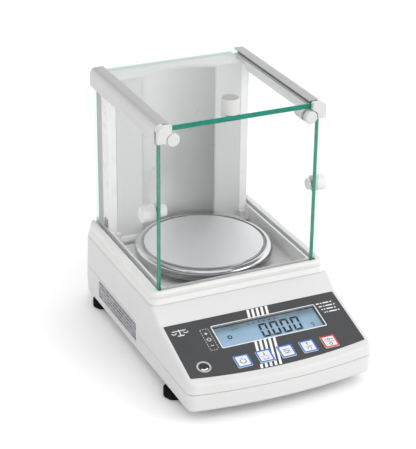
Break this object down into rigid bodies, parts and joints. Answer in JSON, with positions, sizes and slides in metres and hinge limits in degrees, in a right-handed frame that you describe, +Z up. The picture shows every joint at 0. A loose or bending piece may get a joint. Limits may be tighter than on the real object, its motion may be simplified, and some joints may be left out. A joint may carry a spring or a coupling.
{
  "type": "precision balance",
  "caption": "Bench precision balance: sloping control front with display and keys, round steel pan in a glass draught shield with sliding doors, levelling feet.",
  "frame": {"origin": "on the ground under the middle of the object", "axes": "+X to the right seen from the front, +Y to the rear, +Z up; the control front faces -Y"},
  "size_m": [0.1986, 0.293, 0.2703],
  "materials": {
    "case_plastic": "fine moulded texture",
    "tray_plastic": "satin moulded",
    "steel": "zinc plated",
    "plate_label": "printed foil",
    "foot_black": "matt",
    "brass": "machined",
    "overlay_grey": "fine grained foil",
    "window_clear": "clear",
    "display_blue": "lit display",
    "key_white": "foil with blue outline",
    "key_red": "foil with red outline",
    "board_green": "solder resist",
    "bezel_grey": "satin",
    "vial_clear": "clear with fluid",
    "socket_black": "satin",
    "pane_glass": "float glass with green edges",
    "white_plastic": "satin",
    "rail_grey": "satin",
    "wall_plastic": "satin",
    "satin_sheet": "satin",
    "cover_grey": "fine texture",
    "pan_steel": "polished edge, satin plate",
    "cast_alloy": "machined casting",
    "pad_rubber": "matt",
    "bright_steel": "ground"
  },
  "bodies": {
    "case": {"case_screws": "steel", "cell_base": "cast_alloy", "cell_screws": "steel", "column_cap": "wall_plastic", "display_module": "display_blue", "display_window": "window_clear", "door_guides": "socket_black", "foot_inserts": "brass", "fork_sensor": "bright_steel", "front_pane": "pane_glass", "key_board": "board_green", "left_rail": "rail_grey", "level_bezel": "bezel_grey", "level_vial": "vial_clear", "lower_case": "case_plastic", "main_board": "board_green", "pane_brackets": "white_plastic", "pane_knobs": "white_plastic", "panel_overlay": "overlay_grey", "port_board": "board_green", "post_feet": "white_plastic", "power_jack": "socket_black", "rail_caps": "white_plastic", "rating_plate": "plate_label", "rear_column": "wall_plastic", "rear_cover": "cover_grey", "rear_posts": "white_plastic", "recess_liner": "satin_sheet", "right_rail": "rail_grey", "serial_port": "socket_black", "shield_tray": "tray_plastic", "top_cover": "case_plastic", "tray_screws": "steel"},
    "left_door": {"left_door": "pane_glass", "left_door_knob": "white_plastic", "left_knob_disc": "white_plastic"},
    "right_door": {"right_door": "pane_glass", "right_door_knob": "white_plastic", "right_knob_disc": "white_plastic"},
    "top_door": {"top_door": "pane_glass", "top_door_knob": "white_plastic", "top_knob_disc": "white_plastic"},
    "pan_carrier": {"pan": "pan_steel", "pan_pads": "pad_rubber", "pan_support": "cast_alloy", "load_shaft": "bright_steel", "cell_block": "cast_alloy"},
    "upper_guide": {"upper_guide": "bright_steel"},
    "lower_guide": {"lower_guide": "bright_steel"},
    "load_lever": {"load_lever": "cast_alloy"},
    "key_1": {"key_1": "key_white"},
    "key_2": {"key_2": "key_white"},
    "key_3": {"key_3": "key_white"},
    "key_4": {"key_4": "key_white"},
    "key_5": {"key_5": "key_red"},
    "foot_front_left": {"foot_front_left": "foot_black"},
    "foot_front_right": {"foot_front_right": "foot_black"},
    "foot_rear_left": {"foot_rear_left": "foot_black"},
    "foot_rear_right": {"foot_rear_right": "foot_black"}
  },
  "joints": [
    {"name": "left_door_slide", "type": "slide", "parent": "case", "child": "left_door", "axis": [0, 1, 0], "range_m": [0, 0.118]},
    {"name": "right_door_slide", "type": "slide", "parent": "case", "child": "right_door", "axis": [0, 1, 0], "range_m": [0, 0.118]},
    {"name": "top_door_slide", "type": "slide", "parent": "case", "child": "top_door", "axis": [0, 1, 0], "range_m": [0, 0.13]},
    {"name": "key_1_press", "type": "slide", "parent": "case", "child": "key_1", "axis": [0, 0.2924, -0.9563], "range_m": [0, 0.0008], "stiffness_N_per_m": 1500},
    {"name": "key_2_press", "type": "slide", "parent": "case", "child": "key_2", "axis": [0, 0.2924, -0.9563], "range_m": [0, 0.0008], "stiffness_N_per_m": 1500},
    {"name": "key_3_press", "type": "slide", "parent": "case", "child": "key_3", "axis": [0, 0.2924, -0.9563], "range_m": [0, 0.0008], "stiffness_N_per_m": 1500},
    {"name": "key_4_press", "type": "slide", "parent": "case", "child": "key_4", "axis": [0, 0.2924, -0.9563], "range_m": [0, 0.0008], "stiffness_N_per_m": 1500},
    {"name": "key_5_press", "type": "slide", "parent": "case", "child": "key_5", "axis": [0, 0.2924, -0.9563], "range_m": [0, 0.0008], "stiffness_N_per_m": 1500},
    {"name": "pan_travel", "type": "slide", "parent": "case", "child": "pan_carrier", "axis": [0, 0, -1], "range_m": [0, 0.0004], "stiffness_N_per_m": 12000, "springref_m": -0.0004},
    {"name": "upper_guide_flex", "type": "hinge", "parent": "case", "child": "upper_guide", "pos_m": [0, 0.092, 0.051], "axis": [1, 0, 0], "range_deg": [0, 0.62]},
    {"name": "lower_guide_flex", "type": "hinge", "parent": "case", "child": "lower_guide", "pos_m": [0, 0.092, 0.0318], "axis": [1, 0, 0], "range_deg": [0, 0.62]},
    {"name": "load_lever_pivot", "type": "hinge", "parent": "case", "child": "load_lever", "pos_m": [0, 0.069, 0.041], "axis": [1, 0, 0], "range_deg": [0, 1.45]},
    {"name": "foot_front_left_turn", "type": "hinge", "parent": "case", "child": "foot_front_left", "pos_m": [-0.088, -0.086, 0.006], "axis": [0, 0, 1], "continuous": true},
    {"name": "foot_front_right_turn", "type": "hinge", "parent": "case", "child": "foot_front_right", "pos_m": [0.088, -0.086, 0.006], "axis": [0, 0, 1], "continuous": true},
    {"name": "foot_rear_left_turn", "type": "hinge", "parent": "case", "child": "foot_rear_left", "pos_m": [-0.0855, 0.107, 0.006], "axis": [0, 0, 1], "continuous": true},
    {"name": "foot_rear_right_turn", "type": "hinge", "parent": "case", "child": "foot_rear_right", "pos_m": [0.0855, 0.107, 0.006], "axis": [0, 0, 1], "continuous": true}
  ],
  "couplings": [
    {"joint": "upper_guide_flex", "follows": "pan_travel", "rad_per_m": 24.39},
    {"joint": "lower_guide_flex", "follows": "pan_travel", "rad_per_m": 24.39},
    {"joint": "load_lever_pivot", "follows": "pan_travel", "rad_per_m": 57.14}
  ]
}
